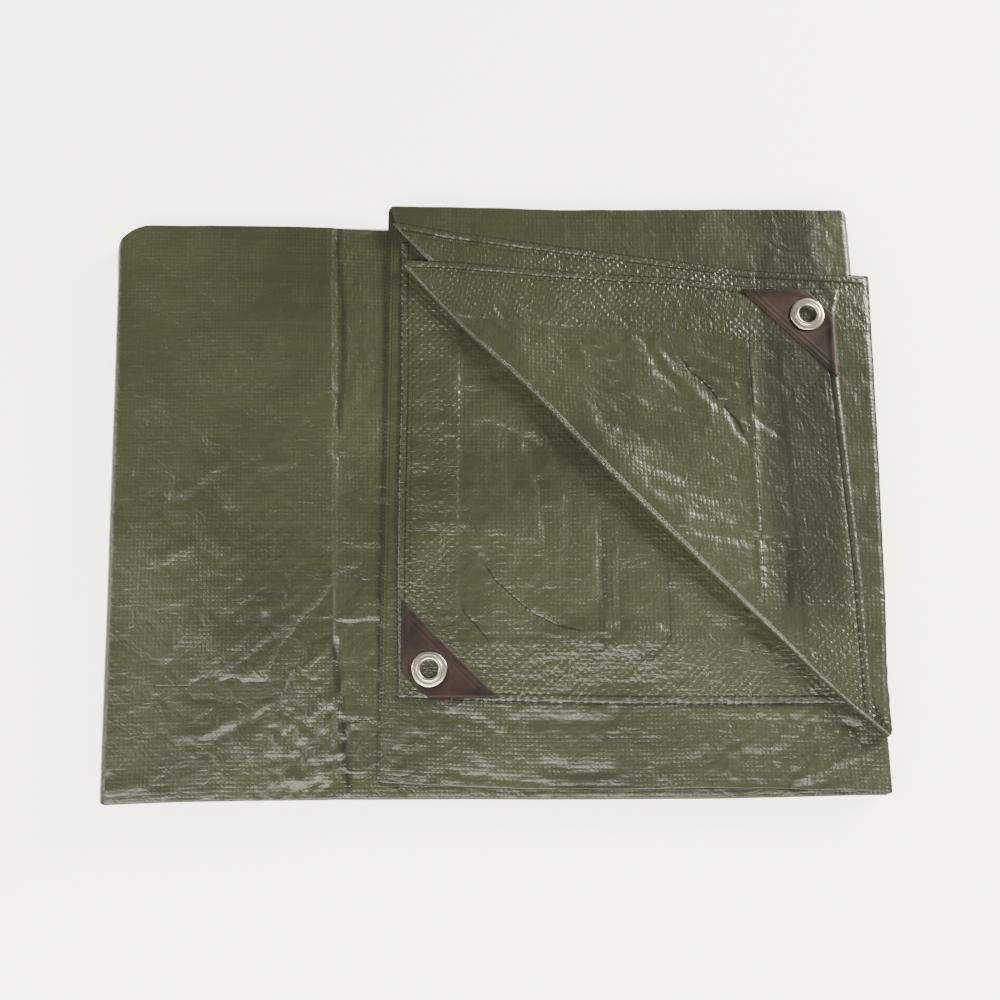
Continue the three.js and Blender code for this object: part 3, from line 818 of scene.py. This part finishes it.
class Finish:
    """A node material, put together one call at a time."""

    def __init__(self, name):
        self.material = bpy.data.materials.new(name)
        self.material.use_nodes = True
        self.tree = self.material.node_tree
        self.tree.nodes.clear()

    def node(self, kind, settings=None, output=0, **sockets):
        """Any node: its type, its settings, and its sockets' values or wires by name, _ for a space."""
        node = self.tree.nodes.new(kind)
        for key, value in (settings or {}).items():
            setattr(node, key, value)
        for key, value in sockets.items():
            socket = next(s for s in node.inputs if s.enabled and s.name == key.replace("_", " "))
            if isinstance(value, Wire):
                self.tree.links.new(value.socket, socket)
            else:
                socket.default_value = value
        outputs = [s for s in node.outputs if s.enabled]
        return Wire(outputs[output])

    def mixed(self, factor, first, second):
        return self.node("ShaderNodeMix", {"data_type": "RGBA"}, Factor=factor, A=first, B=second)

    def stepped(self, value, start, end):
        return self.node("ShaderNodeMapRange", {"interpolation_type": "SMOOTHSTEP"}, Value=value,
                         From_Min=start, From_Max=end)

    def noise(self, place, scale, detail=2.0, roughness=0.5, distortion=0.0):
        return self.node("ShaderNodeTexNoise", None, 0, Vector=place, Scale=scale, Detail=detail,
                         Roughness=roughness, Distortion=distortion)

    def stretched(self, place, across, down, out=1.0):
        return self.node("ShaderNodeMapping", None, Vector=place, Scale=(across, down, out))

    def done(self, **sockets):
        shader = self.node("ShaderNodeBsdfPrincipled", None, **sockets)
        result = self.tree.nodes.new("ShaderNodeOutputMaterial")
        self.tree.links.new(shader.socket, result.inputs["Surface"])
        return self.material


def paint(red, green, blue):
    """A colour given as 0-255 values on screen, as the linear values that a shader takes."""
    values = [c / 255 for c in (red, green, blue)]
    return tuple(c / 12.92 if c <= 0.04045 else ((c + 0.055) / 1.055) ** 2.4 for c in values) + (1.0,)


# The cloth's finish, in metres: flat tapes woven over and under, bolder in the hems, under a thin glossy
# film with faint streaks along the weave. Hem lines, stitches and sharp folds are shaded dark.
tape = 0.0027
rope_groove = 0.0052
stitch_line = 0.0083
corner_clear = (0.014, 0.02)
lower_pile = (0.0185, 0.0195)
shadow = paint(10, 11, 6)
cloth = Finish("laminated_weave")
flat_place = cloth.node("ShaderNodeAttribute", {"attribute_name": "weave"}, output=1)
hem_place = cloth.node("ShaderNodeAttribute", {"attribute_name": "hem"}, output=1)
solid_place = cloth.node("ShaderNodeTexCoord", None, output=3)


def parts(finish, place):
    return [finish.node("ShaderNodeSeparateXYZ", None, i, Vector=place) for i in range(3)]


pulled = cloth.noise(solid_place, 90, 2, 0.5) * 0.0012
u, v, _ = parts(cloth, flat_place)
u, v = u + pulled, v - pulled
from_side_hem, from_end_hem, _ = parts(cloth, hem_place)
nearest_hem = from_side_hem.least(from_end_hem)
in_hem = 1 - cloth.stepped(nearest_hem, (hem_width - 2) / 1000, (hem_width + 1.5) / 1000)
warp, weft = (u * (math.pi / tape)).sine(), (v * (math.pi / tape)).sine()
crossings = abs(warp) * abs(weft)
over_under = warp * weft
worn = cloth.noise(solid_place, 22, 3, 0.6)
patchy = cloth.stepped(worn, 0.4, 0.62)
uneven = 0.35 + 1.3 * cloth.noise(flat_place, 150, 2, 0.7)
fine_weave = crossings * uneven * (0.45 + 0.55 * patchy)
bold_weave = over_under * uneven * in_hem * (0.35 + 0.65 * patchy)
streaks = cloth.noise(cloth.stretched(flat_place, 5, 230), 1, 2, 0.65)
wide_streaks = cloth.noise(cloth.stretched(flat_place, 2.5, 60), 1, 2, 0.5)
cloudy = cloth.noise(solid_place, 9, 4, 0.6)
deep, olive, pale = paint(34, 38, 25), paint(43, 48, 32), paint(62, 65, 47)
tone = cloth.mixed(cloth.stepped(cloudy, 0.3, 0.7), deep, olive)
tone = cloth.mixed(cloth.stepped(streaks, 0.48, 0.72) * 0.3, tone, paint(47, 55, 27))
tone = cloth.mixed(cloth.stepped(wide_streaks, 0.45, 0.7) * 0.2, tone, paint(50, 49, 33))
tone = cloth.mixed(cloth.stepped(fine_weave, 0.3, 0.9) * 0.25, tone, pale)
groove = 1 - cloth.stepped(abs(nearest_hem - rope_groove), 0.0002, 0.0008)
groove *= cloth.stepped(from_side_hem.most(from_end_hem), *corner_clear)
rim = 1 - cloth.stepped(nearest_hem, 0.0008, 0.0015)
stitch = 1 - cloth.stepped(abs(from_side_hem - stitch_line), 0.0001, 0.0006)
shaded = groove.most(rim).most(stitch * 0.7)
tone = cloth.mixed(shaded * 0.6, tone, shadow)
on_fold, fold_depth, _ = parts(cloth, cloth.node("ShaderNodeAttribute", {"attribute_name": "fold"}, output=1))
folded = (1 - cloth.stepped(abs(on_fold), 0.0, 1.0)) * fold_depth
tone = cloth.mixed(folded, tone, shadow)

# Painted shade: the near and right-hand faces of the pile are painted darker, and so is a dull band
# of painted shade, with flatter weave, that runs down the flap beside its right-hand hem.
across_tarp, down_tarp, above_floor = parts(cloth, solid_place)
faces_right, faces_far, _ = parts(cloth, cloth.node("ShaderNodeNewGeometry", output=1))
painted_side_shade = cloth.stepped(0 - faces_far, 0.2, 0.7) * (1 - cloth.stepped(above_floor, *lower_pile))
painted_side_shade = painted_side_shade.most(cloth.stepped(faces_right, 0.25, 0.6))
tone = cloth.mixed(painted_side_shade * 0.9, tone, paint(12, 13, 8))
# A band of painted shade down the flap beside its right-hand hem; below, its weave and ribs are also
# flattened.
flap_shade_band = cloth.stepped(across_tarp, 0.178, 0.192) * (1 - cloth.stepped(across_tarp, 0.228, 0.236))
flap_shade_band *= cloth.stepped(above_floor, 0.0195, 0.021) * cloth.stepped(down_tarp, -0.11, -0.06)
tone = cloth.mixed(flap_shade_band * 0.6, tone, paint(20, 22, 14))


def spot(x, y, size):
    """1 on a speck of that half width, given in metres."""
    off_x, off_y = across_tarp - x, down_tarp - y
    return 1 - cloth.stepped((off_x * off_x + off_y * off_y) ** 0.5, size, size * 2)


# A dark speck on the corner that stays down, and a painted glint: a white speck in the flap's hem by its
# corner patch.
tone = cloth.mixed(spot(0.1714, -0.108, 0.0006), tone, paint(12, 10, 8))
tone = cloth.mixed(spot(0.237, 0.1324, 0.0005), tone, paint(245, 245, 235))
grit = cloth.noise(solid_place, 420, 1, 0.6)
soft_folds = cloth.noise(solid_place, 70, 3, 0.55, 0.8)
rumpled = cloth.stepped(cloudy, 0.44, 0.64)
creased = abs(cloth.noise(cloth.stretched(solid_place, 1, 1.7), 48, 2, 0.5, 0.6) - 0.5)
ribs = cloth.noise(cloth.stretched(flat_place, 130, 480), 1, 2, 0.6) * (0.3 + 1.1 * in_hem)
woven = fine_weave * 0.00014 + bold_weave * (0.00014 - 0.00007 * flap_shade_band)
ribbed = ribs * 0.0004 * (1 - 0.75 * flap_shade_band)
relief = (woven + soft_folds * 0.0012 + grit * 0.00007 + ribbed - creased * rumpled * 0.0012
          - folded * 0.0002)
bumpy = cloth.node("ShaderNodeBump", None, Strength=1.0, Distance=1.0, Height=relief)
roughness = 0.27 + 0.25 * painted_side_shade + 0.12 * cloudy + 0.05 * grit - 0.08 * shaded.most(folded)
cloth_finish = cloth.done(Base_Color=tone, Roughness=roughness, Normal=bumpy)
tarp.data.materials.append(cloth_finish)
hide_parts("tarp")
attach(tarp, "root")


# Corner patches: moulded brown plastic triangles, welded over the hem at each corner of the sheet and
# held by the eyelet. The corner next to the tarp's own is cut off, and lines are moulded along the
# long side and the near leg.
patch_leg = 64
patch_cut = 19
patch_inset = 1.5
patch_tip = 3
patch_bore = 6.9
from_edge = 20.3
eyelet_outer = 11.5
corners = {
    "left": {"at": (-60, -139), "turn": 1, "n": 3.6},
    "right": {"at": (236, 141.5), "turn": -1, "n": 8.8},
}


def patch_outline():
    """The patch's outline seen from its corner, with rounded tips, and small steps along its sides."""
    near, far = patch_inset, patch_inset + patch_leg
    tip = patch_tip
    marks = [(near, near + patch_cut), (near + patch_cut, near), (far - tip, near), (far - 0.7, near + 0.8),
             (far - tip, near + tip), (near + tip, far - tip), (near + 0.8, far - 0.7), (near, far - tip)]
    points = []
    for start, end in zip(marks, marks[1:] + marks[:1]):
        count = max(2, int(math.dist(start, end) / 1.6))
        points += [(lerp(start[0], end[0], i / count), lerp(start[1], end[1], i / count))
                   for i in range(count)]
    return np.array(points)


def patch_mesh():
    """Points as (x, y, up) from the corner, ringed round the bore, and the faces between them."""
    outline = patch_outline()
    centre = np.array([from_edge, from_edge])
    ray = outline - centre
    length = np.linalg.norm(ray, axis=1, keepdims=True)
    direction = ray / length
    inwards = np.array([0, 0.25, 0.7, 1.4, 2.2, 3.0, 3.8, 4.6, 5.4, 6.2, 7.2])
    outer = length - inwards[None, :]
    cuts = np.linspace(0, 1, 22)[None, 1:]
    reach = np.concatenate([outer, lerp(outer[:, -1:], patch_bore, cuts)], 1)
    flat = centre + direction[:, None, :] * reach[..., None]
    x, y = flat[..., 0], flat[..., 1]
    along_long = (patch_inset + patch_leg + patch_inset - x - y) * half
    lip = (0.45 * np.exp(-((y - patch_inset - 1.6) / 0.8) ** 2)
           + 0.2 * np.exp(-((x - patch_inset - 1.6) / 0.8) ** 2))
    lines = sum(0.16 * np.exp(-((along_long - d) / 0.7) ** 2) for d in (2.6, 5.6))
    rope = 0.55 * np.exp(-((x - 4.6) / 1.8) ** 2) + 0.55 * np.exp(-((y - 4.6) / 1.8) ** 2)
    rope *= smooth(x + y, 24, 30)
    dish = -0.25 * np.exp(-((np.hypot(x - from_edge, y - from_edge) - eyelet_outer) / 1.4) ** 2)
    edge = -0.7 * (1 - smooth(np.minimum(length - reach, 1.2), 0, 0.9))
    up = 1.2 + lip + lines + rope + dish + edge + 0.12 * swell(x / 17, y / 15)
    top = np.stack([x, y, up], -1)
    skirt = top[:, :1].copy()
    skirt[..., 2] = -0.15
    inner = top[:, -1:].copy()
    inner[..., 2] = 0.2
    grid = np.concatenate([skirt, top, inner], 1)
    rows, columns = grid.shape[:2]
    index = np.arange(rows * columns).reshape(rows, columns)
    after = np.roll(index, -1, 0)
    cells = np.stack([index[:, :-1], after[:, :-1], after[:, 1:], index[:, 1:]], -1).reshape(-1, 4)
    return grid.reshape(-1, 3), cells


def set_at(corner, points):
    """Points given from the corner, brought to it in the tarp's own millimetres."""
    placed = points.copy()
    placed[:, :2] = placed[:, :2] * corner["turn"] + corner["at"]
    placed[:, 2] += height(corner["n"])
    return placed


plastic = Finish("moulded_plastic")
place = plastic.node("ShaderNodeTexCoord", None, output=3)
mottle = plastic.noise(place, 60, 4, 0.6)
grain = plastic.noise(place, 900, 2, 0.5)
shade = plastic.mixed(plastic.stepped(mottle, 0.3, 0.7), paint(20, 15, 14), paint(40, 27, 23))
shade = plastic.mixed(plastic.stepped(grain, 0.6, 0.8) * 0.3, shade, paint(52, 42, 36))
plastic_bump = plastic.node("ShaderNodeBump", None, Strength=0.6, Distance=1.0,
                            Height=grain * 0.00008 + mottle * 0.0002)
plastic_finish = plastic.done(Base_Color=shade, Roughness=0.42 + 0.2 * mottle, Specular_IOR_Level=0.22,
                              Normal=plastic_bump)
for side, corner in corners.items():
    points, cells = patch_mesh()
    patch = mesh_object("patch_" + side, set_at(corner, points), cells.tolist())
    patch.data.materials.append(plastic_finish)
    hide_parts("corner_patch_" + side)
    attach(patch, "root")


# Eyelets: two-part pressed rings of bright warm metal, clinched through the patch and the hem, with a
# flat flange outside and a rolled rim round the hole.
eyelet_profile = [(6.0, -0.7), (11.3, -0.7), (11.5, -0.55), (11.5, -0.15), (11.3, 0), (6.6, 0), (6.6, 1.8),
                  (11.2, 1.75), (11.5, 1.95), (11.5, 2.15), (11.2, 2.4), (10.2, 2.62), (9.3, 2.66),
                  (8.9, 2.6)]
rim_middle, rim_height, rim_radius, rim_rise = 7.35, 2.55, 1.4, 1.2
eyelet_sides = 96


def eyelet_mesh():
    profile = list(eyelet_profile)
    for i in range(13):
        angle = math.pi * i / 12
        profile.append((rim_middle + rim_radius * math.cos(angle), rim_height + rim_rise * math.sin(angle)))
    profile += [(5.95, 1.6), (5.95, 0.4)]
    profile = np.array(profile)
    turn = np.linspace(0, 2 * np.pi, eyelet_sides, endpoint=False)[:, None]
    dents = 1 + 0.012 * np.sin(3 * turn + 0.6) + 0.008 * np.sin(7 * turn)
    radius = profile[None, :, 0] * np.where(profile[None, :, 0] > 10, dents, 1)
    grid = np.stack([from_edge + radius * np.cos(turn), from_edge + radius * np.sin(turn),
                     np.broadcast_to(profile[None, :, 1], radius.shape)], -1)
    rows, columns = grid.shape[:2]
    index = np.arange(rows * columns).reshape(rows, columns)
    after = np.roll(index, -1, 0)
    cells = np.stack([index, after, np.roll(after, -1, 1), np.roll(index, -1, 1)], -1).reshape(-1, 4)
    return grid.reshape(-1, 3), cells


metal = Finish("pressed_metal")
place = metal.node("ShaderNodeTexCoord", None, output=3)
tarnish = metal.noise(place, 180, 4, 0.6)
scuffs = metal.noise(metal.stretched(place, 900, 200, 400), 1, 3, 0.6)
metal_tone = metal.mixed(metal.stepped(tarnish, 0.35, 0.7), paint(206, 198, 184), paint(176, 168, 154))
metal_bump = metal.node("ShaderNodeBump", None, Strength=0.4, Distance=1.0, Height=scuffs * 0.00006)
metal_finish = metal.done(
    Base_Color=metal_tone, Metallic=1.0, Roughness=0.22 + 0.2 * tarnish, Normal=metal_bump)
for side, corner in corners.items():
    points, cells = eyelet_mesh()
    ring = mesh_object("ring_" + side, set_at(corner, points), cells.tolist())
    ring.data.materials.append(metal_finish)
    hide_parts("eyelet_" + side)
    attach(ring, "root")


# Surroundings: a pale table, one wide soft light over the near side, a weak one from the left and one
# from the far right, all slightly warm, under an even dim sky that is a little darker overhead.
floor_size = 6.0
floor_mesh = bpy.data.meshes.new("floor")
floor_mesh.from_pydata([(x * floor_size, y * floor_size, 0) for x, y in ((-1, -1), (1, -1), (1, 1), (-1, 1))],
                       [], [(0, 1, 2, 3)])
floor = bpy.data.objects.new("floor", floor_mesh)
bpy.context.collection.objects.link(floor)
pale_floor = Finish("pale_floor")
place = pale_floor.node("ShaderNodeTexCoord", None, output=3)
floor_tone = pale_floor.mixed(pale_floor.noise(place, 3), (0.90, 0.90, 0.90, 1), (0.94, 0.94, 0.94, 1))
floor_mesh.materials.append(pale_floor.done(Base_Color=floor_tone, Roughness=0.9, Emission_Color=(1, 1, 1, 1),
                                            Emission_Strength=2.6))


def soft_light(name, place, size, power):
    """A rectangular light that faces the middle of the tarp."""
    lamp = bpy.data.lights.new(name, "AREA")
    lamp.shape = "RECTANGLE"
    lamp.size, lamp.size_y = size
    lamp.energy = power
    lamp.color = (1.0, 0.94, 0.82)
    light = bpy.data.objects.new(name, lamp)
    light.location = place
    light.rotation_euler = (-Vector(place)).to_track_quat("-Z", "Y").to_euler()
    bpy.context.collection.objects.link(light)


soft_light("near_softbox", (-0.12, -0.95, 1.25), (1.9, 0.75), 66)
soft_light("left_fill", (-1.5, 0.1, 0.95), (0.6, 1.0), 18)
soft_light("far_right_fill", (1.65, 1.05, 0.85), (0.9, 0.6), 135)
world = bpy.data.worlds.new("studio")
world.use_nodes = True
sky = world.node_tree
heading = sky.nodes.new("ShaderNodeTexCoord")
parts_of = sky.nodes.new("ShaderNodeSeparateXYZ")
dimmer = sky.nodes.new("ShaderNodeMapRange")
dimmer.interpolation_type = "SMOOTHSTEP"
for socket, value in (("From Min", 0.35), ("From Max", 0.95), ("To Min", 0.45), ("To Max", 0.25)):
    dimmer.inputs[socket].default_value = value
sky.links.new(heading.outputs["Generated"], parts_of.inputs[0])
sky.links.new(parts_of.outputs["Z"], dimmer.inputs["Value"])
sky.links.new(dimmer.outputs[0], sky.nodes["Background"].inputs["Strength"])
sky.nodes["Background"].inputs["Color"].default_value = (1, 1, 1, 1)
bpy.context.scene.world = world
